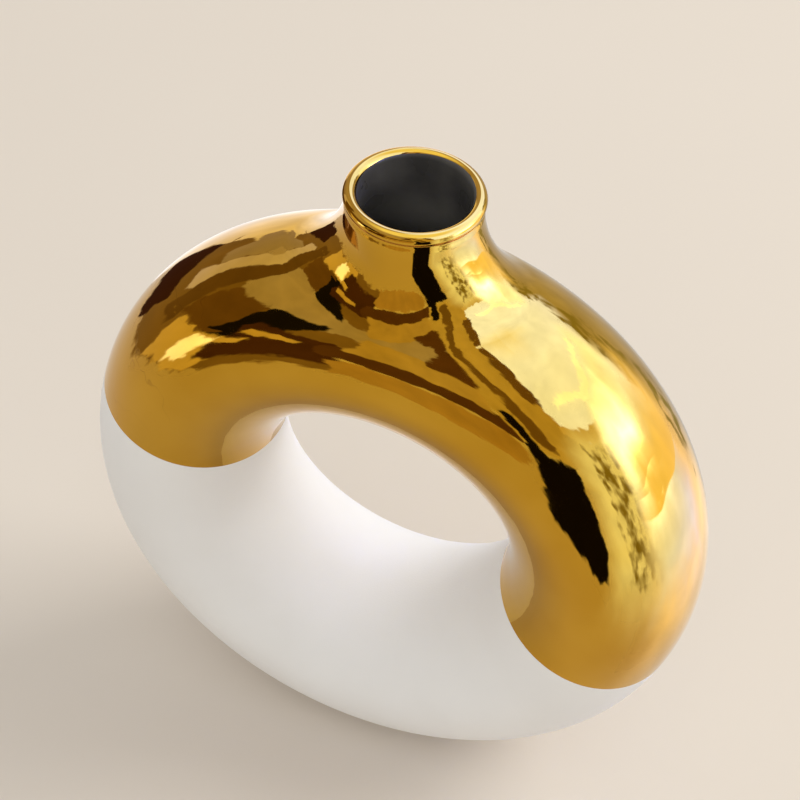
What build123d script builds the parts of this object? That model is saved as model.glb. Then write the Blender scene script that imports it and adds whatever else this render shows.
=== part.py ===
from build123d import *

import os
from math import asin, cos, degrees, hypot, radians, sin, tan

# Donut vase: a hollow oval ring that stands on its edge, with a short flared neck and a rolled lip.
# The lower body, the arch and the neck are cast apart and luted together with slip. A white glaze covers
# the outside of the lower body, a gold plating covers the arch, neck and lip, and a dark glaze lines
# the inside. The ring lies in the XZ plane, its front faces -Y, and its flat foot stands on Z = 0.
# Millimetres throughout.

# Ring, measured over its finished outside
RING_HALF_WIDTH = 65.0       # ring's centre to the middle of an arm
RING_HALF_HEIGHT = 71.0      # ring's centre to the middle of the tube at the top
TUBE_HALF_THICKNESS = 27.7   # half the tube within the ring's plane, at mid height
TUBE_HALF_DEPTH = 30.5       # half the tube from front to back, at mid height
THICKNESS_TAPER = 2.3        # the half thickness gains this at the bottom and loses it at the top
DEPTH_TAPER = 2.2            # the half depth gains this at the bottom and loses it at the top
WALL = 4.0                   # cast wall of the ring
FOOT_CUT = 3.0               # the flat foot takes this off the tube's lowest point
FLOOR = 5.0                  # cast floor over the foot

# Neck and lip
THROAT_RADIUS = 13.8         # finished inside of the neck
NECK_RISE = 19.3             # crown of the arch to the top of the lip
NECK_SEAM_RISE = 1.0         # crown of the arch to the seam where the neck is luted on
FLARE_RADIUS = 26.0          # concave sweep from the arch into the neck
FLARE_SHARE = 1.36           # largest flare radius as a share of the neck's rise
LIP_THICKNESS = 3.4          # across the rolled lip
LIP_UNDERCUT = 40.0          # degrees below the lip's outer side where the neck's wall leaves it
LIP_LAP = 4.0                # degrees that the lip's coat runs on into the neck's coat
GOLD_INNER_EDGE = 30.0       # degrees above the lip's inner side where the gold stops

# Line between the gold and the white, where the arch is luted to the lower body
COLOUR_LINE_HEIGHT = 1.5     # above the ring's centre, at its middle
COLOUR_LINE_SLOPE = 16.0     # degrees, falling towards +X
COLOUR_LINE_PITCH = 2.5      # degrees, falling towards +Y

# Coats and joints
COAT = 0.3                   # glaze, plating and lining
COAT_GAP = 0.04              # clearance between a coat and the wall it covers
SLIP = 0.6                   # layer of luting slip in each joint
BARE_FOOT = 0.6              # the white glaze stops this far above the ground foot

# Sections that carry the tube round the ring
ARM_REACH = 35.0             # degrees that each half runs past mid height before it is trimmed
SECTIONS = 15

# Heights and offsets that follow from the sizes above
RING_CENTRE = RING_HALF_HEIGHT + TUBE_HALF_THICKNESS + THICKNESS_TAPER - FOOT_CUT
CROWN = RING_CENTRE + RING_HALF_HEIGHT + TUBE_HALF_THICKNESS - THICKNESS_TAPER
LIP_TOP = CROWN + NECK_RISE
BEAD = LIP_THICKNESS / 2
BEAD_CENTRE = THROAT_RADIUS + BEAD
BEAD_HEIGHT = LIP_TOP - BEAD
NECK_RADIUS = BEAD_CENTRE + BEAD * cos(radians(LIP_UNDERCUT))
LIP_FOOT = BEAD_HEIGHT - BEAD * sin(radians(LIP_UNDERCUT)) + COAT_GAP
SKIN = COAT + COAT_GAP
CAST_INSIDE = SKIN + WALL
LINER_OUTSIDE = CAST_INSIDE + COAT_GAP
LINER_INSIDE = LINER_OUTSIDE + COAT
FLARE = min(FLARE_RADIUS, FLARE_SHARE * NECK_RISE)
HALF_SLIP = SLIP / 2
OVERRUN = 2.0                # a cutting tool runs this far past what it cuts

COLOUR_LINE = Plane(
    origin=(0, 0, RING_CENTRE + COLOUR_LINE_HEIGHT),
    z_dir=(tan(radians(COLOUR_LINE_SLOPE)), tan(radians(COLOUR_LINE_PITCH)), 1),
)
NECK_SEAM = Plane(origin=(0, 0, CROWN + NECK_SEAM_RISE))


def tube_section(angle, inset):
    """Oval of the tube at an angle round the ring, drawn in by inset all round."""
    across, up = cos(radians(angle)), sin(radians(angle))
    out_x, out_z = RING_HALF_HEIGHT * across, RING_HALF_WIDTH * up
    length = hypot(out_x, out_z)
    out_x, out_z = out_x / length, out_z / length
    middle = (RING_HALF_WIDTH * across, 0, RING_CENTRE + RING_HALF_HEIGHT * up)
    plane = Plane(origin=middle, x_dir=(-out_x, 0, -out_z), z_dir=(-out_z, 0, out_x))
    half_thickness = TUBE_HALF_THICKNESS - THICKNESS_TAPER * up - inset
    half_depth = TUBE_HALF_DEPTH - DEPTH_TAPER * up - inset
    return plane * Ellipse(half_thickness, half_depth)


def half_ring(first, inset):
    """Solid tube round one half of the ring, from the first angle, with both arms overlong."""
    step = (180 + 2 * ARM_REACH) / (SECTIONS - 1)
    return loft([tube_section(first + step * i, inset) for i in range(SECTIONS)])


def arch_form(inset, neck_radius, flare, top):
    """Solid arch with its neck, blended by the flare, which may still be opening where the top cuts it."""
    neck_foot = RING_CENTRE + RING_HALF_HEIGHT
    neck = Pos(0, 0, neck_foot) * Cylinder(
        neck_radius, top + flare / 2 - neck_foot, align=(Align.CENTER, Align.CENTER, Align.MIN)
    )
    form = half_ring(-ARM_REACH, inset) + neck
    root = form.edges().filter_by(lambda edge: neck_foot < edge.center().Z < top - SLIP)
    blended = fillet(root.filter_by(GeomType.BSPLINE), flare)
    return split(blended, Plane(origin=(0, 0, top)), keep=Keep.BOTTOM)


def lower_form(inset, floor):
    """Solid lower half of the ring, cut off flat at a floor height."""
    form = half_ring(180 - ARM_REACH, inset)
    return split(form, Plane(origin=(0, 0, floor)), keep=Keep.TOP)


def above(seam, form, lift):
    """What lies over a seam's plane, from a lift above it."""
    return split(form, seam.offset(lift), keep=Keep.TOP)


def below(seam, form, drop):
    """What lies under a seam's plane, from a drop below it."""
    return split(form, seam.offset(-drop), keep=Keep.BOTTOM)


def slip_layer(seam, form):
    """Layer of slip that a seam's plane takes out of a form."""
    return above(seam, below(seam, form, -HALF_SLIP), -HALF_SLIP)


def bead_point(radius, angle):
    """Point of the lip's round, at a radius from its centre and an angle from its outer side."""
    across = BEAD_CENTRE + radius * cos(radians(angle))
    return across, BEAD_HEIGHT + radius * sin(radians(angle))


def bead_arc(radius, first, last):
    """Arc of the lip's round between two angles."""
    return ThreePointArc(*(bead_point(radius, a) for a in (first, (first + last) / 2, last)))


def turned(*edges):
    """Solid of revolution about the neck's axis from a closed outline in the XZ plane."""
    return revolve(Plane.XZ * make_face(edges), Axis.Z)


def make_arch_wall():
    """Cast wall of the arch with its neck, up to the foot of the lip."""
    outside = arch_form(SKIN, NECK_RADIUS - SKIN, FLARE, LIP_FOOT)
    return outside - arch_form(CAST_INSIDE, THROAT_RADIUS + SKIN, FLARE, LIP_FOOT + OVERRUN)


def make_lower_body():
    """Trough-shaped casting of the lower half, with the ground flat foot."""
    outside = below(COLOUR_LINE, lower_form(SKIN, 0), HALF_SLIP)
    return outside - lower_form(CAST_INSIDE, FLOOR)


def make_arch_body(wall):
    """Arched casting of the upper half, open at the crown for the neck."""
    return below(NECK_SEAM, above(COLOUR_LINE, wall, HALF_SLIP), HALF_SLIP)


def make_neck(wall):
    """Flared neck with its rolled lip, luted on over the arch's crown."""
    first = degrees(asin((LIP_FOOT - BEAD_HEIGHT) / (BEAD - SKIN)))
    round_over = bead_arc(BEAD - SKIN, first, 180)
    inner_foot = (THROAT_RADIUS + SKIN, LIP_FOOT)
    lip = turned(round_over, Line(round_over @ 1, inner_foot), Line(inner_foot, round_over @ 0))
    return above(NECK_SEAM, wall, HALF_SLIP) + lip


def make_arm_slips():
    """Left and right layers of slip between the arch and the lower body."""
    tube = half_ring(-ARM_REACH, SKIN) - half_ring(-ARM_REACH, CAST_INSIDE)
    return slip_layer(COLOUR_LINE, tube).solids().sort_by(Axis.X)


def make_neck_slip(wall):
    """Ring of slip between the arch's crown and the neck."""
    return slip_layer(NECK_SEAM, wall)


def make_white_glaze():
    """White coat on the outside of the lower body, stopping short of the foot."""
    outside = below(COLOUR_LINE, lower_form(0, BARE_FOOT), 0)
    return outside - lower_form(COAT, BARE_FOOT - OVERRUN)


def make_gold_plating():
    """Gold coat over the arch, the flare, the neck and the rolled lip."""
    outside = above(COLOUR_LINE, arch_form(0, NECK_RADIUS, FLARE, LIP_FOOT), 0)
    inside = arch_form(COAT, NECK_RADIUS - COAT, FLARE, LIP_FOOT + OVERRUN)
    first, last = -LIP_UNDERCUT - LIP_LAP, 180 - GOLD_INNER_EDGE
    over = bead_arc(BEAD, first, last)
    under = bead_arc(BEAD - COAT, last, first)
    lip = turned(over, Line(over @ 1, under @ 0), under, Line(under @ 1, over @ 0))
    return (outside - inside) + lip


def make_body_liner():
    """Dark glaze inside the lower body."""
    outside = below(COLOUR_LINE, lower_form(LINER_OUTSIDE, FLOOR + COAT_GAP), 0)
    return outside - lower_form(LINER_INSIDE, FLOOR + COAT_GAP + COAT)


def make_arch_liner():
    """Dark glaze inside the arch and up the throat to the edge of the gold."""
    outer_radius = THROAT_RADIUS + COAT
    outside = above(COLOUR_LINE, arch_form(LINER_OUTSIDE, outer_radius, FLARE, LIP_FOOT), 0)
    inside = arch_form(LINER_INSIDE, THROAT_RADIUS, FLARE, LIP_FOOT + OVERRUN)
    stop = 180 - GOLD_INNER_EDGE + degrees(COAT_GAP / BEAD)
    over = bead_arc(BEAD, 180, stop)
    under = bead_arc(BEAD - COAT, stop, 180)
    inner_foot = (THROAT_RADIUS, LIP_FOOT)
    outer_foot = (outer_radius, LIP_FOOT)
    throat = turned(
        over,
        Line(over @ 1, under @ 0),
        under,
        Line(under @ 1, outer_foot),
        Line(outer_foot, inner_foot),
        Line(inner_foot, over @ 0),
    )
    return (outside - inside) + throat


arch_wall = make_arch_wall()
left_arm_slip, right_arm_slip = make_arm_slips()

pieces = {
    "lower_body": make_lower_body(),
    "arch_body": make_arch_body(arch_wall),
    "neck": make_neck(arch_wall),
    "left_arm_slip": left_arm_slip,
    "right_arm_slip": right_arm_slip,
    "neck_slip": make_neck_slip(arch_wall),
    "white_glaze": make_white_glaze(),
    "gold_plating": make_gold_plating(),
    "body_liner": make_body_liner(),
    "arch_liner": make_arch_liner(),
}

os.makedirs("parts", exist_ok=True)
for name, shape in pieces.items():
    export_step(shape, f"parts/{name}.step")
    print(name, round(shape.volume), "mm3")
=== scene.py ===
# %% [markdown]
# # Donut vase
# A hollow ceramic ring stands on its edge and opens in a short flared neck. The arch, neck and lip are
# plated in mirror gold, the lower half is matte white, and a dark glaze lines the inside. The packed
# model holds the castings and joints. This script adds the three finishes that the eye meets, as smooth
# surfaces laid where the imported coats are.

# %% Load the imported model
import math

import bpy
import numpy as np
from mathutils import Matrix, Vector


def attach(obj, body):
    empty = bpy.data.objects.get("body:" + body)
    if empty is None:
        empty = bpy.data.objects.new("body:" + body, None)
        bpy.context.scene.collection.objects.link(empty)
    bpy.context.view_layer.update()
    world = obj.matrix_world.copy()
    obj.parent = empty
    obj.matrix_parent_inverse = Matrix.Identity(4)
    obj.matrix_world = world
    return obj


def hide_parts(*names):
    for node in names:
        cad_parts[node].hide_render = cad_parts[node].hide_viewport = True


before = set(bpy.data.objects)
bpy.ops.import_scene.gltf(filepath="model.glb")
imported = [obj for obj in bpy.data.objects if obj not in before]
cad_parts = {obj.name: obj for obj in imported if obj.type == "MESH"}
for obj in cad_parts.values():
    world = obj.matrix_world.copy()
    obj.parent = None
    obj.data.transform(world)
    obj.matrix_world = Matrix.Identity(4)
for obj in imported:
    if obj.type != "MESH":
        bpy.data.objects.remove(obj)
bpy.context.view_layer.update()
MM = 0.001

# %% [markdown]
# ## Camera
# The view looks down on the vase from the front right. The angles were found by fitting the ring's
# outlines to the photograph. A camera can be aimed with a constraint, but a matrix built from the three
# angles also takes the small roll and the sideways slide, with no lens shift.

# %% Aim the camera
CAMERA_AZIMUTH, CAMERA_ELEVATION, CAMERA_ROLL = np.radians([18.214, 48.450, 4.108])
CAMERA_DISTANCE = 0.41334
CAMERA_SLIDE = (0.001885, 0.027313)
FOCAL_PIXELS, FRAME_PIXELS = 1396.9, 800
RING_MIDDLE = np.array([0.0, 0.0, 0.098])


def aim_camera():
    """The camera backs off along the view's own axis, slides across it, and turns about it by the roll."""
    level = np.cos(CAMERA_ELEVATION)
    back = np.array([
        np.sin(CAMERA_AZIMUTH) * level,
        -np.cos(CAMERA_AZIMUTH) * level,
        np.sin(CAMERA_ELEVATION),
    ])
    right = np.array([np.cos(CAMERA_AZIMUTH), np.sin(CAMERA_AZIMUTH), 0.0])
    up = np.cross(back, right)
    turn, rise = np.cos(CAMERA_ROLL), np.sin(CAMERA_ROLL)
    right, up = turn * right + rise * up, turn * up - rise * right
    place = RING_MIDDLE + back * CAMERA_DISTANCE + right * CAMERA_SLIDE[0] + up * CAMERA_SLIDE[1]
    data = bpy.data.cameras.new("view_camera")
    data.lens = data.sensor_width * FOCAL_PIXELS / FRAME_PIXELS
    camera = bpy.data.objects.new("view_camera", data)
    bpy.context.scene.collection.objects.link(camera)
    axes = np.column_stack([right, up, back, place])
    camera.matrix_world = Matrix([*axes.tolist(), [0, 0, 0, 1]])
    bpy.context.scene.camera = camera
    return camera


camera = aim_camera()
print("camera at", [round(v, 4) for v in camera.location], "lens", round(camera.data.lens, 2))

# %% [markdown]
# ## The ring's surface
# Every coat follows one form: an oval tube carried round an oval path, a little slimmer at the top than
# at the bottom. Two angles name a point on it. The turn goes round the ring and the swing goes round the
# tube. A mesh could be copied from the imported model, but a mirror shows every facet, so the surface and
# its normals are worked out from the formula.

# %% Ring formula
RING_WIDTH, RING_HEIGHT, RING_CENTRE = 65.0, 71.0, 98.0
TUBE_THICKNESS, TUBE_DEPTH = 27.7, 30.5
THICKNESS_TAPER, DEPTH_TAPER = 2.3, 2.2


def unit(vectors):
    """Vectors cut to length one."""
    return vectors / np.linalg.norm(vectors, axis=-1, keepdims=True)


def ring_point(turn, swing, inset):
    """Path's point at the turn, plus half thickness times cos(swing) along the path's outward normal,
    plus half depth times sin(swing) along Y. Both halves lose the inset, and their taper times sin(turn)."""
    across, up = np.cos(turn), np.sin(turn)
    out = (TUBE_THICKNESS - THICKNESS_TAPER * up - inset) * np.cos(swing)
    out = out / np.hypot(RING_HEIGHT * across, RING_WIDTH * up)
    depth = (TUBE_DEPTH - DEPTH_TAPER * up - inset) * np.sin(swing)
    x = (RING_WIDTH + out * RING_HEIGHT) * across
    z = RING_CENTRE + (RING_HEIGHT + out * RING_WIDTH) * up
    return np.stack([x, depth, z], axis=-1)


def ring_normal(turn, swing, inset, step=1e-4):
    """Cross product of the slopes along swing and turn, each the difference across a small step."""
    along_turn = ring_point(turn + step, swing, inset) - ring_point(turn - step, swing, inset)
    along_swing = ring_point(turn, swing + step, inset) - ring_point(turn, swing - step, inset)
    return unit(np.cross(along_swing, along_turn))


crown = ring_point(np.pi / 2, 0.0, 0.0)
print("crown of the arch at", np.round(crown, 2), "mm")

# %% [markdown]
# ## Patches and meshes
# Each coat is a few patches. A patch is a grid of points with their normals, in rows of lanes. Patches
# that share an edge repeat its points, so the points that fall together are merged before the mesh is
# made, and the seams close. The formula's normals go onto the mesh as custom normals.

# %% Patches become a piece
MERGE_DIGITS = 4


def patch_faces(rows, lanes, closed):
    """Corner numbers of a grid's quads, with the last lane joined to the first if it is closed."""
    grid = np.arange(rows * lanes).reshape(rows, lanes)
    if closed:
        grid = np.concatenate([grid, grid[:, :1]], axis=1)
    corners = [grid[:-1, :-1], grid[1:, :-1], grid[1:, 1:], grid[:-1, 1:]]
    return np.stack(corners, axis=-1).reshape(-1, 4)


def join_patches(patches):
    """All patches as one set of points, normals and quads, merged to a ten-thousandth of a millimetre."""
    points, normals, quads, start = [], [], [], 0
    for place, facing, closed in patches:
        quads.append(patch_faces(*place.shape[:2], closed) + start)
        points.append(place.reshape(-1, 3))
        normals.append(facing.reshape(-1, 3))
        start += points[-1].shape[0]
    points, normals, quads = map(np.concatenate, (points, normals, quads))
    keys = np.round(points, MERGE_DIGITS) + 0.0
    _, first, renumbered = np.unique(keys, axis=0, return_index=True, return_inverse=True)
    points, normals, quads = points[first], normals[first], renumbered.ravel()[quads]
    edge_a, edge_b = points[quads[:, 1]] - points[quads[:, 0]], points[quads[:, 3]] - points[quads[:, 0]]
    inward = (np.cross(edge_a, edge_b) * normals[quads[:, 0]]).sum(axis=-1) < 0
    quads[inward] = quads[inward][:, ::-1]
    return points, normals, quads


def make_piece(name, patches, node):
    """Mesh object at the origin that rides on the root body and stands for a packed coat."""
    points, normals, quads = join_patches(patches)
    mesh = bpy.data.meshes.new(name)
    mesh.vertices.add(len(points))
    mesh.vertices.foreach_set("co", (points * MM).astype(np.float32).ravel())
    mesh.loops.add(quads.size)
    mesh.loops.foreach_set("vertex_index", quads.astype(np.int32).ravel())
    mesh.polygons.add(len(quads))
    mesh.polygons.foreach_set("loop_start", np.arange(0, quads.size, 4, dtype=np.int32))
    mesh.update(calc_edges=True)
    mesh.shade_smooth()
    mesh.normals_split_custom_set_from_vertices(normals.tolist())
    piece = bpy.data.objects.new(name, mesh)
    bpy.context.scene.collection.objects.link(piece)
    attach(piece, "root")
    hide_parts(node)
    print(name, len(quads), "quads")
    return piece

# %% [markdown]
# ## The colour line
# Gold and white meet in a level cut through both arms, which falls towards the right. Each coat ends in
# a hair-thin rounded edge there, so that the line reads as two coats that meet and not as paint on one.

# %% Where a coat meets the colour line
LINE_POINT = np.array([0.0, 0.0, 99.5])
FALL_RIGHT, FALL_BACK = math.radians(16.0), math.radians(2.5)
LINE_NORMAL = unit(np.array([math.tan(FALL_RIGHT), math.tan(FALL_BACK), 1.0]))
EDGE_ROUND, EDGE_TUCK, EDGE_ROWS = 0.12, 0.3, 5
HALVINGS = 50


def line_turn(swing, low, high, lift, inset):
    """Turn at which the surface is `lift` above the line's plane, by halving the range from low to high,
    where the surface is above the plane at high and below it at low."""
    low, high = np.full_like(swing, low), np.full_like(swing, high)
    for _ in range(HALVINGS):
        middle = (low + high) / 2
        over = (ring_point(middle, swing, inset) - LINE_POINT) @ LINE_NORMAL > lift
        low, high = np.where(over, low, middle), np.where(over, middle, high)
    return (low + high) / 2


def rolled_edge(place, facing, ahead):
    """Quarter round off an edge towards `ahead`, then a short tuck straight in under the coat."""
    bend = np.linspace(0, np.pi / 2, EDGE_ROWS)[:, None, None]
    points = place + EDGE_ROUND * (np.sin(bend) * ahead - (1 - np.cos(bend)) * facing)
    normals = np.cos(bend) * facing + np.sin(bend) * ahead
    points = np.concatenate([points, points[-1:] - EDGE_TUCK * facing])
    normals = np.concatenate([normals, normals[-1:]])
    return points, normals, False


def edge_ahead(place, facing, towards):
    """Direction off a coat's edge: across its run, along the surface, on the side of `towards`."""
    across = unit(np.cross(facing, np.gradient(place, axis=0)))
    return across * np.sign(across @ towards)[:, None]


print("colour line's normal", np.round(LINE_NORMAL, 3))

# %% [markdown]
# ## Lanes
# A tube with a round hole in it has no plain grid. Lanes start all round the hole, at the neck's flare or
# at the foot, and run out straight in turn and swing. Some end on the right arm's line, some on the left
# arm's, and those between end on the seam along the inside of the ring, where front and back lanes meet.

# %% Lanes from a hole to the ends of a coat
ARM_LANES, SEAM_LANES, RING_ROWS = 140, 110, 90
ARM_RANGE = 0.7


def lane_angles():
    """Angle round the hole at which each lane starts: even steps within each quarter."""
    right = np.linspace(-45, 45, ARM_LANES, endpoint=False)
    back = np.linspace(45, 135, SEAM_LANES, endpoint=False)
    left = np.linspace(135, 225, ARM_LANES, endpoint=False)
    front = np.linspace(225, 315, SEAM_LANES, endpoint=False)
    return np.radians(np.concatenate([right, back, left, front]))


def lane_ends(lift, inset, left_arm):
    """Turn and swing where each lane ends: round the right arm, back seam, left arm, front seam. The left
    arm's turn is pi for the upper half of the ring and minus pi for the lower."""
    swing = np.linspace(-np.pi, np.pi, ARM_LANES + 1)
    right = line_turn(swing, -ARM_RANGE, ARM_RANGE, lift, inset)
    left = line_turn(swing[::-1], left_arm + ARM_RANGE, left_arm - ARM_RANGE, lift, inset)
    seam = np.linspace(right[-1], left[0], SEAM_LANES + 1)
    turns = np.concatenate([right[:-1], seam[:-1], left[:-1], seam[::-1][:-1]])
    full = np.full(SEAM_LANES, np.pi)
    swings = np.concatenate([swing[:-1], full, swing[::-1][:-1], -full])
    return turns, swings


def ring_patch(start, end, inset):
    """Rows of ring points, evenly spaced in turn and swing from each lane's start to its end."""
    share = np.linspace(0, 1, RING_ROWS + 1)[:, None]
    turn = start[0] + (end[0] - start[0]) * share
    swing = start[1] + (end[1] - start[1]) * share
    return ring_point(turn, swing, inset), ring_normal(turn, swing, inset), True


def arm_edges(turns, swings, towards):
    """Rolled edges of an outer coat round the right and left arms."""
    for first in (0, ARM_LANES + SEAM_LANES):
        lanes = np.arange(first, first + ARM_LANES + 1)
        place = ring_point(turns[lanes], swings[lanes], 0.0)
        facing = ring_normal(turns[lanes], swings[lanes], 0.0)
        yield rolled_edge(place, facing, edge_ahead(place, facing, towards))


ANGLES = lane_angles()
print(ANGLES.size, "lanes")

# %% [markdown]
# ## The flare
# The neck grows out of the arch in a wide concave sweep. It is the path of a ball that rolls round the
# neck and touches both the neck and the tube. A modeller would use a fillet tool. Here the ball's centre
# is found for every lane by stepping down the slopes of its miss, and the sweep is the arc between the
# ball's two contacts.

# %% Rolling ball
FLARE = 26.0
SLOPE_STEP, ROUNDS = 1e-5, 20
NECK_ROWS = 28


def rolling_ball(angles, neck, inset):
    """Contact on the tube (turn and swing) and ball's centre for each angle round the neck. The centre is
    the contact plus the ball's radius along the normal, and lies neck plus radius from the neck's axis."""
    target = (neck + FLARE) * np.stack([np.cos(angles), np.sin(angles)], axis=-1)
    turn = np.pi / 2 - np.arcsin(target[:, 0] / (RING_WIDTH + TUBE_THICKNESS + FLARE))
    swing = np.arcsin(target[:, 1] / (TUBE_DEPTH + FLARE))

    def miss(turn, swing):
        return (ring_point(turn, swing, inset) + FLARE * ring_normal(turn, swing, inset))[:, :2] - target

    for _ in range(ROUNDS):
        off = miss(turn, swing)
        by_turn = (miss(turn + SLOPE_STEP, swing) - off) / SLOPE_STEP
        by_swing = (miss(turn, swing + SLOPE_STEP) - off) / SLOPE_STEP
        area = by_turn[:, 0] * by_swing[:, 1] - by_turn[:, 1] * by_swing[:, 0]
        turn = turn - (off[:, 0] * by_swing[:, 1] - off[:, 1] * by_swing[:, 0]) / area
        swing = swing - (by_turn[:, 0] * off[:, 1] - by_turn[:, 1] * off[:, 0]) / area
    return turn, swing, ring_point(turn, swing, inset) + FLARE * ring_normal(turn, swing, inset)


def neck_patch(angles, neck, inset, top):
    """Straight wall from the top down to the ball's upper contact, then the arc on the ball to its lower
    contact, in even steps of length. Where the ball's centre is above the top, the arc starts part way."""
    turn, swing, centre = rolling_ball(angles, neck, inset)
    inward = np.stack([-np.cos(angles), -np.sin(angles), np.zeros_like(angles)], axis=-1)
    foot = (ring_point(turn, swing, inset) - centre) / FLARE
    sweep = np.arccos((inward * foot).sum(axis=-1))
    down = unit(foot - np.cos(sweep)[:, None] * inward)
    wall = np.maximum(top - centre[:, 2], 0.0)
    skipped = np.arcsin(np.clip((top - centre[:, 2]) / (FLARE * down[:, 2]), 0.0, 1.0))
    run = np.linspace(0, 1, NECK_ROWS + 1)[:, None] * (wall + FLARE * (sweep - skipped))
    bend = (skipped + np.maximum(run - wall, 0.0) / FLARE)[..., None]
    arm = np.cos(bend) * inward + np.sin(bend) * down
    points = centre + FLARE * arm
    points[..., 2] += np.maximum(wall - run, 0.0)
    return (points, -arm, True), (turn, swing)


def turned_patch(angles, radius, height, slope_out, slope_up):
    """A profile turned about the neck's axis: radius, height and normal per row, and per lane if uneven."""
    shape = np.broadcast_shapes(np.shape(radius), (1, angles.size))
    profile = (radius, height, slope_out, slope_up)
    radius, height, slope_out, slope_up = (np.broadcast_to(values, shape) for values in profile)
    across, along = np.cos(angles), np.sin(angles)
    points = np.stack([radius * across, radius * along, height], axis=-1)
    normals = unit(np.stack([slope_out * across, slope_out * along, slope_up], axis=-1))
    return points, normals, True


print("flare of", FLARE, "mm")

# %% [markdown]
# ## Gold plating
# The gold covers the arch, the flare, the neck and the rolled lip, and stops a little way inside the
# mouth. Its surface starts at that inner edge, goes over the lip's round, tucks into the crease below it,
# and runs down the neck and the flare on to the arch.

# %% Gold over lip, neck, flare and arch
NECK_RADIUS, THROAT_RADIUS = 16.8, 13.8
BEAD_RADIUS, BEAD_CENTRE, BEAD_HEIGHT = 1.7, 15.5, 212.0
BEAD_END = math.radians(-48.0)
CREASE = (16.56, 210.52)
NECK_TOP = 208.6
STOP_MIDDLE, STOP_SWAY, STOP_WOBBLE = 150, 22, 3
BEAD_ROWS, CREASE_ROWS, SHOULDER_ROWS = 25, 7, 9


def gold_stop(angles):
    """Angle on the lip's round where the gold ends inside the mouth: a middle angle, less a sway that is
    most at the back right, plus a wobble of three waves, as it was brushed on by hand."""
    sway, wobble = np.cos(angles - 1.0), np.cos(3 * angles + 0.7)
    return np.radians(STOP_MIDDLE - STOP_SWAY * sway + STOP_WOBBLE * wobble)


def fold_curve(first, leave, last, arrive, steps):
    """Cubic curve between two points with given directions, as long as the gap, and its outward normals."""
    share = np.linspace(0, 1, steps)[:, None, None]
    gap = np.linalg.norm(last - first, axis=-1, keepdims=True)
    leave, arrive = leave * gap, arrive * gap
    bend, sag = 3 * (last - first) - 2 * leave - arrive, 2 * (first - last) + leave + arrive
    points = first + leave * share + bend * share ** 2 + sag * share ** 3
    run = leave + 2 * bend * share + 3 * sag * share ** 2
    return points, unit(np.stack([-run[..., 1], run[..., 0]], axis=-1))


def lip_patches(angles, neck):
    """Round of the lip from the gold's inner edge to the crease, then the crease, then a shallow shoulder
    down to the first row of the neck."""
    share = np.linspace(0, 1, BEAD_ROWS)[:, None]
    bend = gold_stop(angles) * (1 - share) + BEAD_END * share
    bead = turned_patch(
        angles,
        BEAD_CENTRE + BEAD_RADIUS * np.cos(bend),
        BEAD_HEIGHT + BEAD_RADIUS * np.sin(bend),
        np.cos(bend),
        np.sin(bend),
    )
    place, facing = neck[0][0], neck[1][0]
    outward = np.stack([np.cos(angles), np.sin(angles)], axis=-1)
    last = np.stack([(place[:, :2] * outward).sum(axis=-1), place[:, 2]], axis=-1)
    arrive = np.stack([facing[:, 2], -(facing[:, :2] * outward).sum(axis=-1)], axis=-1)
    leave = np.array([[math.sin(BEAD_END), -math.cos(BEAD_END)]])
    round_end = BEAD_RADIUS * math.cos(BEAD_END), BEAD_RADIUS * math.sin(BEAD_END)
    first = np.array([[BEAD_CENTRE + round_end[0], BEAD_HEIGHT + round_end[1]]])
    crease, straight = np.array([CREASE]), np.array([[0.0, -1.0]])
    painted_fold_shade = (
        fold_curve(first, leave, crease, straight, CREASE_ROWS),
        fold_curve(crease, straight, last, unit(arrive), SHOULDER_ROWS),
    )
    return [bead] + [
        turned_patch(angles, profile[..., 0], profile[..., 1], normals[..., 0], normals[..., 1])
        for profile, normals in painted_fold_shade
    ]


def gold_patches():
    """Lip, neck and flare, arch and the rolled edges at the colour line."""
    neck, start = neck_patch(ANGLES, NECK_RADIUS, 0.0, NECK_TOP)
    ends = lane_ends(EDGE_ROUND, 0.0, np.pi)
    edges = arm_edges(*ends, -LINE_NORMAL)
    return [*lip_patches(ANGLES, neck), neck, ring_patch(start, ends, 0.0), *edges]


gold = make_piece("gold_coat", gold_patches(), "gold_plating")

# %% [markdown]
# ## White glaze
# The white covers the lower half from the colour line down to the foot, where it stops just short of the
# flat face so that it would not stick to the kiln's shelf. Its lanes start round the foot.

# %% White lower half
BARE_FOOT = 0.6
FOOT_RANGE = 1.5


def foot_start(angles):
    """Turn and swing at which each lane leaves the foot's edge: halving the way out from the lowest point
    until the surface is as high as the bare foot."""
    low, high = np.zeros_like(angles), np.full_like(angles, FOOT_RANGE)
    for _ in range(HALVINGS):
        middle = (low + high) / 2
        place = ring_point(middle * np.cos(angles) - np.pi / 2, middle * np.sin(angles), 0.0)
        over = place[:, 2] > BARE_FOOT
        low, high = np.where(over, low, middle), np.where(over, middle, high)
    return low * np.cos(angles) - np.pi / 2, low * np.sin(angles)


def white_patches():
    """Lower half of the ring, its rolled edge round the foot and its edges at the colour line."""
    start = foot_start(ANGLES)
    ends = lane_ends(-EDGE_ROUND, 0.0, -np.pi)
    body = ring_patch(start, ends, 0.0)
    around = np.append(np.arange(ANGLES.size), 0)
    foot, facing = body[0][0][around], body[1][0][around]
    foot_edge = rolled_edge(foot, facing, edge_ahead(foot, facing, np.array([0.0, 0.0, -1.0])))
    return [body, foot_edge, *arm_edges(*ends, LINE_NORMAL)]


white = make_piece("white_coat", white_patches(), "white_glaze")

# %% [markdown]
# ## Dark lining
# A glossy charcoal glaze lines the throat and the hollow of the arch. It starts just under the gold's
# inner edge and follows the same form as the outside, drawn in by the wall and with its normals turned
# round to face the hollow.

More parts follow.
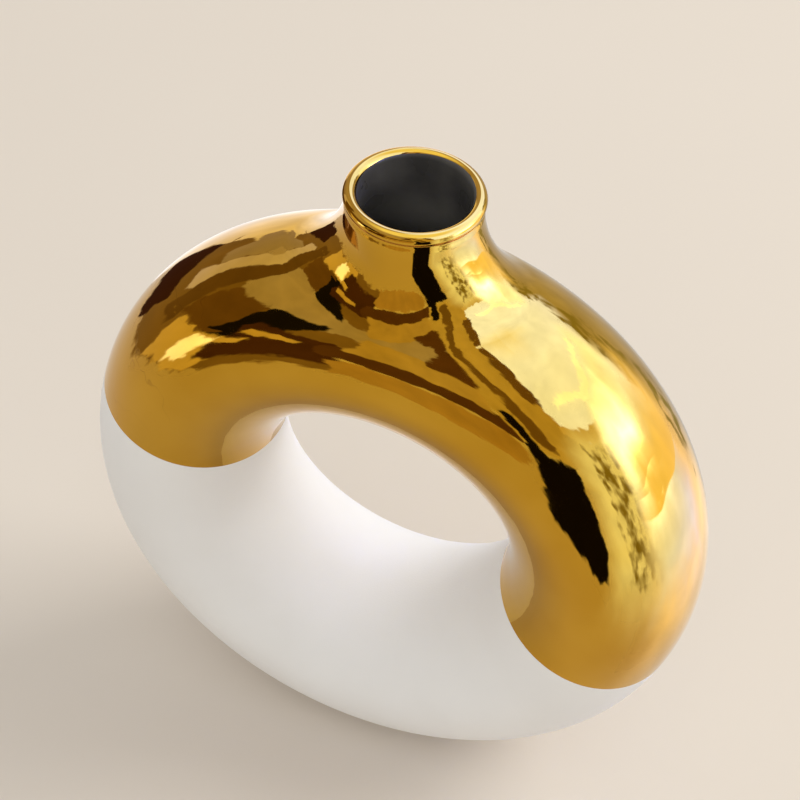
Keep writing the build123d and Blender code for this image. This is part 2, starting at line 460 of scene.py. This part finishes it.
# %% Lining of the throat and the arch
LINING_INSET = 4.68
UNDER_GOLD, GOLD_LAP = 0.03, 0.08
LIP_ROWS = 9


def lining_patches():
    """Inner quarter of the lip, throat, inner flare and hollow arch, all facing inwards."""
    throat, start = neck_patch(ANGLES, THROAT_RADIUS, LINING_INSET, BEAD_HEIGHT)
    ends = lane_ends(0.0, LINING_INSET, np.pi)
    share = np.linspace(0, 1, LIP_ROWS)[:, None]
    bend = (gold_stop(ANGLES) - GOLD_LAP) * (1 - share) + np.pi * share
    radius = BEAD_RADIUS - UNDER_GOLD * (1 - share)
    lip = turned_patch(
        ANGLES,
        BEAD_CENTRE + radius * np.cos(bend),
        BEAD_HEIGHT + radius * np.sin(bend),
        -np.cos(bend),
        -np.sin(bend),
    )
    inside = [lip, throat, ring_patch(start, ends, LINING_INSET)]
    return [(place, -facing, closed) for place, facing, closed in inside]


lining = make_piece("lining_coat", lining_patches(), "arch_liner")

# %% [markdown]
# ## Shader arithmetic
# Node trees are easier to read as sums than as wires. One small class holds a socket and turns the usual
# operators into Math nodes. Any other node comes from its one method, settings first and sockets after.

# %% Wires
class Wire:
    """A socket in a shader tree that takes part in arithmetic."""

    def __init__(self, tree, socket=None):
        self.tree, self.socket = tree, socket

    def node(self, kind, settings=None, inputs=None, output=0):
        """A new node of this kind, with its settings, then its sockets' values or links. Gives one output."""
        made = self.tree.nodes.new(kind)
        for key, value in (settings or {}).items():
            setattr(made, key, value)
        for key, value in (inputs or {}).items():
            if isinstance(value, Wire):
                self.tree.links.new(value.socket, made.inputs[key])
            else:
                made.inputs[key].default_value = value
        return Wire(self.tree, made.outputs[output])

    def maths(self, operation, first, second):
        """A Math node on two values."""
        return self.node("ShaderNodeMath", {"operation": operation}, {0: first, 1: second})

    def __add__(self, other):
        return self.maths("ADD", self, other)

    def __radd__(self, other):
        return self.maths("ADD", other, self)

    def __sub__(self, other):
        return self.maths("SUBTRACT", self, other)

    def __rsub__(self, other):
        return self.maths("SUBTRACT", other, self)

    def __mul__(self, other):
        return self.maths("MULTIPLY", self, other)

    def __rmul__(self, other):
        return self.maths("MULTIPLY", other, self)

    def smooth(self, low, high):
        """Zero below low, one above high and an S-shaped rise between."""
        limits = {"Value": self, "From Min": low, "From Max": high}
        return self.node("ShaderNodeMapRange", {"interpolation_type": "SMOOTHSTEP"}, limits)

    def noise(self, place, scale, detail=2.0, roughness=0.5):
        """Noise of about this many bumps per metre."""
        sockets = {"Vector": place, "Scale": scale, "Detail": detail, "Roughness": roughness}
        return self.node("ShaderNodeTexNoise", {}, sockets)

    def mix(self, share, first, second):
        """A colour between two colours."""
        sockets = {"Factor": share, 6: first, 7: second}
        return self.node("ShaderNodeMix", {"data_type": "RGBA"}, sockets, output=2)


def new_material(name):
    """A material with an empty tree, the wire to build it with, and the piece's own coordinates."""
    material = bpy.data.materials.new(name)
    material.use_nodes = True
    material.node_tree.nodes.clear()
    tree = Wire(material.node_tree)
    return material, tree, tree.node("ShaderNodeTexCoord", output="Object")


def close_tree(tree, shader, kind="ShaderNodeOutputMaterial"):
    """Ends a tree: its shader goes to the output."""
    output = tree.tree.nodes.new(kind)
    tree.tree.links.new(shader.socket, output.inputs["Surface"])


def paint(piece, material):
    """The piece's only material."""
    piece.data.materials.clear()
    piece.data.materials.append(material)

# %% [markdown]
# ## Gold finish
# Bright gold on glaze is a mirror that is not quite flat: it waves slowly with the glaze beneath, has a
# fine orange peel, and carries a few hairline crackles. One Metallic shader gives the mirror and the pale
# edges. The waves, ripples and peel are bump from three sizes of noise, and a crackle is the thin line
# where a fourth noise passes its middle.

# %% Mirror gold
GOLD, DEEP_GOLD = (0.60, 0.335, 0.030, 1.0), (0.545, 0.290, 0.020, 1.0)
CRACKLE = (0.24, 0.10, 0.010, 1.0)


def gold_finish():
    """Metal with slow waves, ripples, a fine peel and hairline crackles. A crackle is where the gap between
    a noise and its middle is nearly nothing, kept only where a slower noise is high."""
    material, tree, place = new_material("mirror_gold")
    clouds = tree.noise(place, 35.0)
    waves = tree.noise(place, 55.0, 1.0)
    peel = tree.noise(place, 900.0, 1.0)
    smear = tree.noise(place, 160.0, 3.0)
    ripples = tree.noise(place, 170.0, 1.0)
    hairlines = tree.maths("ABSOLUTE", tree.noise(place, 48.0, 3.0) - 0.5, 0.0).smooth(0.005, 0.0)
    crackles = hairlines * tree.noise(place, 20.0).smooth(0.6, 0.7)
    height = waves + 0.26 * ripples + 0.012 * peel - 0.02 * crackles
    bump = tree.node("ShaderNodeBump", {}, {"Strength": 0.12, "Distance": 0.001, "Height": height})
    tone = tree.mix(clouds.smooth(0.35, 0.7), GOLD, DEEP_GOLD)
    shader = tree.node("ShaderNodeBsdfPrincipled", {}, {
        "Base Color": tree.mix(0.4 * crackles, tone, CRACKLE),
        "Metallic": 1.0,
        "Roughness": 0.035 + 0.03 * smear.smooth(0.5, 0.75) + 0.12 * crackles,
        "Normal": bump,
    })
    close_tree(tree, shader)
    return material


paint(gold, gold_finish())
print("gold finish on", gold.name)

# %% [markdown]
# ## White finish
# The white is a matte glaze: nearly flat, a little warm, with a faint cloudiness and a fine grain that
# only shows where light grazes it.

# %% Matte white
WHITE, WHITE_CLOUD = (0.90, 0.893, 0.872, 1.0), (0.87, 0.86, 0.835, 1.0)


def white_finish():
    """Matte glaze with faint clouds and a fine grain."""
    material, tree, place = new_material("matte_white")
    clouds = tree.noise(place, 28.0, 3.0)
    grain = tree.noise(place, 2400.0, 2.0)
    bump = tree.node("ShaderNodeBump", {}, {"Strength": 0.08, "Distance": 0.0003, "Height": grain})
    shader = tree.node("ShaderNodeBsdfPrincipled", {}, {
        "Base Color": tree.mix(clouds.smooth(0.3, 0.7), WHITE, WHITE_CLOUD),
        "Roughness": 0.5 + 0.1 * clouds,
        "Specular IOR Level": 0.06,
        "Normal": bump,
    })
    close_tree(tree, shader)
    return material


paint(white, white_finish())
print("white finish on", white.name)

# %% [markdown]
# ## Lining and clay
# The lining is a glossy charcoal glaze with slight pooling, and painted light makes it paler down the
# throat. Under the coats lie the castings and the slip in the joints, of pale stoneware with fine specks.
# Only the ground foot shows any of it.

# %% Charcoal lining and stoneware
# The pale charcoal serves the random pooling patches and the painted light down the throat.
CHARCOAL, POOL_AND_PAINTED_LIGHT_CHARCOAL = (0.065, 0.061, 0.056, 1.0), (0.32, 0.30, 0.25, 1.0)
THROAT_TOP, THROAT_FOOT = 0.206, 0.186


def lining_finish():
    """Glossy dark glaze, a little lighter in random patches, with painted light that makes it lighter from
    the throat's top down, in metres.
    """
    material, tree, place = new_material("charcoal_glaze")
    pools = tree.noise(place, 90.0, 3.0)
    height = tree.node("ShaderNodeSeparateXYZ", {}, {0: place}, output="Z")
    # Painted light: the glaze pales from the throat's top down. Random pooling patches pale it a little too.
    pools_and_painted_light = 0.2 * pools.smooth(0.3, 0.75) + 0.8 * height.smooth(THROAT_TOP, THROAT_FOOT)
    bump = tree.node("ShaderNodeBump", {}, {"Strength": 0.1, "Distance": 0.0006, "Height": pools})
    shader = tree.node("ShaderNodeBsdfPrincipled", {}, {
        "Base Color": tree.mix(pools_and_painted_light, CHARCOAL, POOL_AND_PAINTED_LIGHT_CHARCOAL),
        "Roughness": 0.22 + 0.14 * pools,
        "Specular IOR Level": 0.2,
        "Normal": bump,
    })
    close_tree(tree, shader)
    return material


def clay_finish(name, light, dark):
    """Fired clay with fine specks and a dry grain."""
    material, tree, place = new_material(name)
    specks = tree.noise(place, 1500.0, 4.0)
    tone = tree.noise(place, 60.0, 3.0)
    bump = tree.node("ShaderNodeBump", {}, {"Strength": 0.25, "Distance": 0.0004, "Height": specks})
    shader = tree.node("ShaderNodeBsdfPrincipled", {}, {
        "Base Color": tree.mix(0.75 * specks.smooth(0.55, 0.75) + 0.25 * tone, light, dark),
        "Roughness": 0.75 + 0.15 * tone,
        "Normal": bump,
    })
    close_tree(tree, shader)
    return material


charcoal = lining_finish()
stoneware = clay_finish("stoneware", (0.62, 0.56, 0.47, 1.0), (0.34, 0.28, 0.21, 1.0))
slip = clay_finish("fired_slip", (0.52, 0.46, 0.38, 1.0), (0.36, 0.30, 0.23, 1.0))
paint(lining, charcoal)
for node, material in (
    ("body_liner", charcoal),
    ("lower_body", stoneware),
    ("arch_body", stoneware),
    ("neck", stoneware),
    ("left_arm_slip", slip),
    ("right_arm_slip", slip),
    ("neck_slip", slip),
):
    paint(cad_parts[node], material)
print("kept nodes have", charcoal.name, stoneware.name, slip.name)

# %% [markdown]
# ## Floor
# The vase stands on a plain pale floor, warm and matte. Far out the floor fades into the pale room, as a
# photographer's paper sweep does, so no view shows an edge.

# %% Pale floor
FLOOR_SIDE = 8.0
FADE_START, FADE_END = 1.2, 3.6
FLOOR_LIGHT, FLOOR_DEEP = (0.74, 0.67, 0.59, 1.0), (0.71, 0.64, 0.56, 1.0)


def make_floor():
    """A square sheet at the foot's height. It is whole out to the start of the fade, and clear at its end."""
    half = FLOOR_SIDE / 2
    corners = half * np.array([[-1, -1, 0], [1, -1, 0], [1, 1, 0], [-1, 1, 0]])
    mesh = bpy.data.meshes.new("floor")
    mesh.from_pydata(corners.tolist(), [], [[0, 1, 2, 3]])
    floor = bpy.data.objects.new("floor", mesh)
    bpy.context.scene.collection.objects.link(floor)
    material, tree, place = new_material("pale_floor")
    tone = tree.noise(place, 3.0, 2.0)
    shader = tree.node("ShaderNodeBsdfPrincipled", {}, {
        "Base Color": tree.mix(tone, FLOOR_LIGHT, FLOOR_DEEP),
        "Roughness": 0.8,
        "Specular IOR Level": 0.0,
    })
    reach = tree.node("ShaderNodeVectorMath", {"operation": "LENGTH"}, {0: place}, output="Value")
    clear = tree.node("ShaderNodeBsdfTransparent")
    fade = reach.smooth(FADE_START, FADE_END)
    close_tree(tree, tree.node("ShaderNodeMixShader", {}, {0: fade, 1: shader, 2: clear}))
    paint(floor, material)
    return floor


floor = make_floor()
print(floor.name, FLOOR_SIDE, "m wide")

# %% [markdown]
# ## Studio light
# The room is plain and pale, and two soft lamps light the vase from the back right and from above the
# front. The lamps are for the matte surfaces, so they are hidden from mirrors. What the gold shows comes
# next.

# %% Plain room and soft lamps
VASE_MIDDLE = Vector((0.0, 0.0, 0.13))
ROOM_LIGHT = (0.66, 0.655, 0.645, 1.0)
ROOM_SEEN = (0.86, 0.82, 0.77, 1.0)
LAMP_DISTANCE, LAMP_SIDE = 2.6, 1.7
LAMP_COLOUR = (1.0, 0.99, 0.97)


def make_world():
    """One pale tone for the view and for mirrors, and one level of light for everything else."""
    world = bpy.data.worlds.new("studio")
    world.use_nodes = True
    world.node_tree.nodes.clear()
    bpy.context.scene.world = world
    tree = Wire(world.node_tree)
    rays = ("Is Camera Ray", "Is Glossy Ray", "Is Transmission Ray")
    seen = [tree.node("ShaderNodeLightPath", output=ray) for ray in rays]
    tone = tree.mix((seen[0] + seen[1] + seen[2]).smooth(0.0, 1.0), ROOM_LIGHT, ROOM_SEEN)
    shader = tree.node("ShaderNodeBackground", {}, {"Color": tone})
    close_tree(tree, shader, "ShaderNodeOutputWorld")


def away_from_vase(azimuth, elevation):
    """Unit direction, for azimuth 0 at the front, 90 at the right and 180 at the back."""
    side, rise = np.broadcast_arrays(np.radians(azimuth), np.radians(elevation))
    level = np.cos(rise)
    return np.stack([np.sin(side) * level, -np.cos(side) * level, np.sin(rise)], axis=-1)


def make_lamp(name, azimuth, elevation, radiance):
    """Square lamp that faces the vase. Its power is radiance times area times pi."""
    data = bpy.data.lights.new(name, "AREA")
    data.shape, data.size = "SQUARE", LAMP_SIDE
    data.energy, data.color = radiance * LAMP_SIDE * LAMP_SIDE * math.pi, LAMP_COLOUR
    lamp = bpy.data.objects.new(name, data)
    bpy.context.scene.collection.objects.link(lamp)
    away = Vector(away_from_vase(azimuth, elevation).tolist())
    lamp.location = VASE_MIDDLE + LAMP_DISTANCE * away
    lamp.rotation_euler = away.to_track_quat("Z", "Y").to_euler()
    lamp.visible_camera = lamp.visible_glossy = False
    return lamp


make_world()
lamps = [
    make_lamp("key_lamp", azimuth=128, elevation=42, radiance=4.1),
    make_lamp("front_lamp", azimuth=15, elevation=66, radiance=1.0),
]
print("room set with", [lamp.name for lamp in lamps])

# %% [markdown]
# ## Cards round the studio
# A mirror is only as good as what stands round it. Photographers hang bright, tan and dark cards about
# polished metal to shape it, and these were set against the photograph. More lamps would light the
# white as well, so the cards glow for mirrors alone and leave the matte white nearly as it is.

# %% List of cards
# Each card: left and right azimuth, low and high elevation, soft rim, lean in degrees of azimuth for each
# degree of elevation, cover, which is 1 for a whole card and less for a broken one, and colour. Later
# cards hang in front of earlier ones.
CARDS = [
    # High round the room and overhead
    (-200, 26, 22, 60, 10, 0.0, 1.0, (0.60, 0.56, 0.80)),
    (26, 200, 22, 76, 10, 0.0, 1.0, (1.7, 2.5, 12.0)),
    (-200, 200, 62, 110, 24, 0.0, 1.0, (1.5, 1.7, 2.4)),
    # Left
    (-130, -18, -14, 26, 6, 0.0, 1.0, (0.30, 0.21, 0.10)),
    (-174, -128, -42, 16, 6, 0.0, 1.0, (1.3, 1.3, 1.35)),
    (-135, -112, 10, 28, 6, 0.0, 1.0, (0.50, 0.46, 0.60)),
    (-112, -100, 4, 40, 5, 0.0, 1.0, (0.85, 0.85, 1.5)),
    (-101, -88, -4, 42, 5, -0.15, 1.0, (0.19, 0.12, 0.05)),
    (-128, -103, -16, -3, 4, 0.0, 1.0, (0.05, 0.02, 0.015)),
    (-85, -55, 3, 27, 6, 0.0, 1.0, (0.20, 0.12, 0.045)),
    (-58, -36, 3, 30, 5, 0.4, 1.0, (0.012, 0.010, 0.008)),
    (-82, -46, -13, 2, 6, 0.0, 1.0, (0.90, 0.76, 0.46)),
    (-64, -54, -11, 1, 6, 0.0, 1.0, (2.2, 2.6, 6.0)),
    # Front
    (-52, -18, -9, 15, 6, 0.0, 1.0, (0.09, 0.04, 0.02)),
    (-50, -28, 6, 10, 4, 0.0, 1.0, (0.85, 0.70, 0.40)),
    (-20, 20, -14, 0, 6, 0.0, 1.0, (0.62, 0.46, 0.24)),
    (-24, 23, 1, 14, 4, 0.0, 1.0, (0.13, 0.065, 0.03)),
    (-20, 20, 12, 30, 5, 0.0, 1.0, (0.70, 0.58, 0.36)),
    (4, 22, 28, 48, 6, 0.0, 1.0, (0.14, 0.07, 0.03)),
    # Front right
    (16, 52, 5, 62, 6, -0.25, 1.0, (0.75, 0.65, 0.40)),
    (22, 31, 8, 56, 5, -0.45, 0.8, (0.24, 0.16, 0.06)),
    (40, 50, 32, 62, 5, -0.3, 0.8, (0.22, 0.14, 0.06)),
    (48, 92, -30, 22, 20, 0.0, 1.0, (1.3, 1.6, 3.2)),
    (50, 98, 20, 25, 4, 0.05, 1.0, (0.95, 0.85, 0.7)),
    (56, 84, -26, 20, 8, -0.1, 0.52, (0.34, 0.31, 0.10)),
    # Right and back right
    (136, 186, -42, 26, 14, 0.0, 1.0, (0.64, 0.64, 0.62)),
    (80, 138, -36, 4, 24, 0.0, 1.0, (1.65, 1.6, 1.5)),
    (78, 124, -26, 8, 20, 0.0, 1.0, (1.45, 2.0, 6.4)),
    (82, 140, -8, 33, 16, 0.0, 1.0, (1.9, 2.7, 9.5)),
    (62, 132, 34, 38, 5, 0.0, 0.9, (2.2, 3.2, 12.0)),
    (80, 114, -12, 28, 18, 0.0, 1.0, (3.6, 5.0, 20.0)),
    (88, 108, -4, 19, 14, 0.0, 1.0, (9.0, 10.0, 30.0)),
    (136, 156, -22, 34, 8, 0.2, 0.48, (0.40, 0.40, 0.18)),
    # Black cards in front of the rest
    (23, 45, -28, 5, 5, 0.0, 1.0, (0.008, 0.006, 0.005)),
    (24, 30, 2, 20, 4, -0.3, 1.0, (0.010, 0.008, 0.006)),
]
print(len(CARDS), "cards listed")

# %% [markdown]
# ## Shape of a card
# A card could be a flat plane, but the gold would show its corners and the gap between it and the floor.
# Each card is a patch of one large dome instead, which comes down to the floor in a smooth sweep.

# %% Patches of a dome
DOME_RADIUS, FLOOR_CLEARANCE = 1.6, 0.001
CARD_COLUMNS, CARD_ROWS = 24, 60
CARD_SPACING = 0.006
TENS_OF_DEGREES = 5.7
NOISE_APART = 7.0
FRAYED_BELOW = 8


def card_patch(left, right, low, high, soft, lean, cover, order):
    """Patch of a large dome about the vase that comes down to the floor in a smooth sweep, rippled by two
    sine waves. Its share is its cover inside and falls to zero across the rim. Gives its points, its
    direction scaled so that a unit is ten degrees, its share, and how much its rim frays, which is less
    for a softer one."""
    half = soft / 2
    sides = np.array([left - half, *np.linspace(left + half, right - half, CARD_COLUMNS), right + half])
    rises = np.array([low - half, *np.linspace(low + half, high - half, CARD_ROWS), high + half])
    side, rise = np.meshgrid(sides, rises)
    side = side + lean * (rise - (low + high) / 2)
    side, rise = (
        side + 1.6 * np.sin(0.17 * rise + 0.11 * side),
        rise + 1.3 * np.sin(0.14 * side + 0.1 * rise),
    )
    away = away_from_vase(side, np.minimum(rise, 90.0))
    fall = np.maximum(-away[..., 2], 0.0) / (VASE_MIDDLE.z - FLOOR_CLEARANCE)
    distance = (1 - CARD_SPACING * order) / (1 / DOME_RADIUS + fall)
    points = np.array(VASE_MIDDLE) + distance[..., None] * away
    turn = TENS_OF_DEGREES * away + (0.0, 0.0, NOISE_APART * order)
    share = np.pad(np.full((CARD_ROWS, CARD_COLUMNS), cover), 1)
    return points, turn, share, min(1.0, FRAYED_BELOW / soft) ** 2


def card_mesh(name, patches):
    """Mesh of several patches. Each point carries its colour with its share, its direction and its fray."""
    points, turns, frays, glows, faces, start = [], [], [], [], [], 0
    for place, turn, share, fray, colour in patches:
        glow = np.broadcast_to(np.array([*colour, 1.0]), (*share.shape, 4)).copy()
        glow[..., 3] = share
        faces.append(patch_faces(*share.shape, False) + start)
        points.append(place.reshape(-1, 3))
        turns.append(turn.reshape(-1, 3))
        frays.append(np.full(share.size, fray))
        glows.append(glow.reshape(-1, 4))
        start += share.size
    mesh = bpy.data.meshes.new(name)
    mesh.from_pydata(np.concatenate(points).tolist(), [], np.concatenate(faces).tolist())
    for layer, kind, field, values in (
        ("glow", "FLOAT_COLOR", "color", glows),
        ("turn", "FLOAT_VECTOR", "vector", turns),
        ("fray", "FLOAT", "value", frays),
    ):
        data = mesh.attributes.new(layer, kind, "POINT").data
        data.foreach_set(field, np.concatenate(values).astype(np.float32).ravel())
    return mesh


card_patches = [(*card_patch(*place, order), colour) for order, (*place, colour) in enumerate(CARDS)]
print("cards have", sum(share.size for _, _, share, _, _ in card_patches), "points")

# %% [markdown]
# ## Glow of the cards
# An even card with a straight rim looks drawn on. What a mirror shows in a real room is ragged and uneven,
# so noise frays the rims and shades the faces. Soft rims fray less, and blend into what lies behind.

# %% Frayed glow with painted fold shade
FRAY_DEPTH, FRAY_EDGE = 1.2, 0.35
# Painted fold shade: stretch, low end and rise of the noise that dims and brightens each card's glow.
PAINTED_FOLD_SHADE_STRETCH = (1.6, 0.4, 1.0)
PAINTED_FOLD_SHADE_LOW, PAINTED_FOLD_SHADE_RISE = 0.75, 0.5


def card_finish(name):
    """Glow of the card's colour times painted shade of soft folds. It is clear where the share, moved up and
    down by noise times the fray, is low."""
    material, tree, _ = new_material(name)

    def read(layer, output):
        return tree.node("ShaderNodeAttribute", {"attribute_name": layer}, output=output)

    colour, share = read("glow", "Color"), read("glow", "Alpha")
    turn, fray = read("turn", "Vector"), read("fray", "Fac")
    ragged = share + FRAY_DEPTH * fray * (tree.noise(turn, 2.0, 2.0) - 0.5)
    frayed = ragged.smooth(FRAY_EDGE * fray, 1 - FRAY_EDGE * fray)
    # Painted shade: each card's glow is dimmed and brightened as if the card had soft folds.
    stretched = {0: turn, 1: PAINTED_FOLD_SHADE_STRETCH}
    upright = tree.node("ShaderNodeVectorMath", {"operation": "MULTIPLY"}, stretched)
    painted_fold_shade = PAINTED_FOLD_SHADE_LOW + PAINTED_FOLD_SHADE_RISE * tree.noise(upright, 1.0, 2.0)
    shaded = {0: colour, "Scale": painted_fold_shade}
    tone = tree.node("ShaderNodeVectorMath", {"operation": "SCALE"}, shaded)
    clear = tree.node("ShaderNodeBsdfTransparent")
    bright = tree.node("ShaderNodeEmission", {}, {"Color": tone})
    close_tree(tree, tree.node("ShaderNodeMixShader", {}, {0: frayed, 1: clear, 2: bright}))
    return material


def hang_cards(name, patches):
    """One object of all the cards, which only mirrors can see."""
    cards = bpy.data.objects.new(name, card_mesh(name, patches))
    bpy.context.scene.collection.objects.link(cards)
    paint(cards, card_finish(name))
    cards.visible_camera = cards.visible_diffuse = False
    cards.visible_shadow = cards.visible_transmission = False
    return cards


studio_cards = hang_cards("studio_cards", card_patches)
print(studio_cards.name, len(studio_cards.data.polygons), "faces")

# %% [markdown]
# ## Colour on screen
# The dressed vase has to stay within the imported model's box. The colours go to the screen as they are.

bpy.context.scene.view_settings.view_transform = "Standard"
